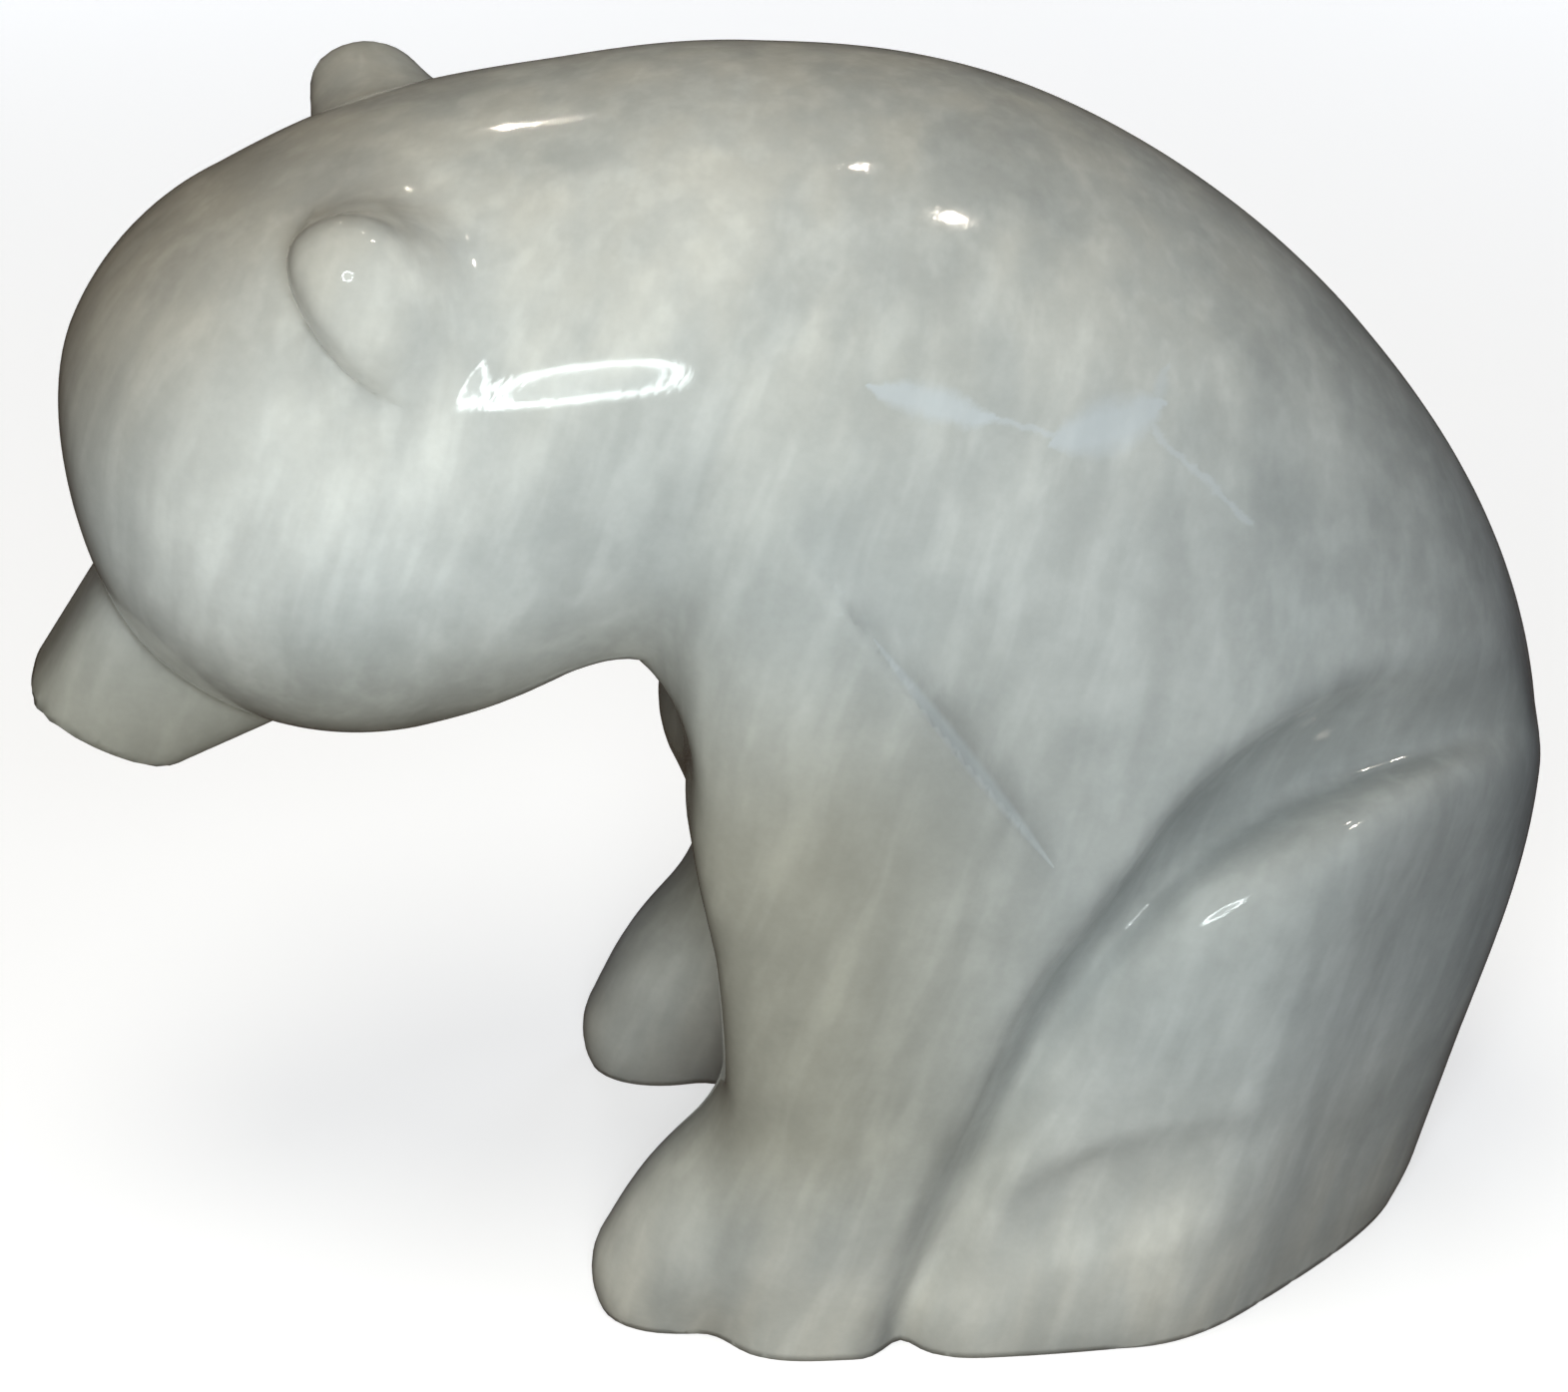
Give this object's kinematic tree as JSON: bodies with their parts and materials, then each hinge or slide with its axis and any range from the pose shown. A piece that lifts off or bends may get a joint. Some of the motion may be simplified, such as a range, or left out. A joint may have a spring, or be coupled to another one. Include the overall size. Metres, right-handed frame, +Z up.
{
  "type": "marble bear figurine",
  "caption": "Smooth sitting bear carved from one block of polished marble, head bowed, with two small ears and a short square muzzle.",
  "frame": {"origin": "on the ground, under the middle of the figurine's length and width", "axes": "the bear looks along -X, its left side is -Y, +Z is up"},
  "size_m": [0.2508, 0.114, 0.2075],
  "materials": {
    "marble": "polished pale grey marble"
  },
  "bodies": {
    "root": {"bear": "marble"}
  },
  "joints": []
}
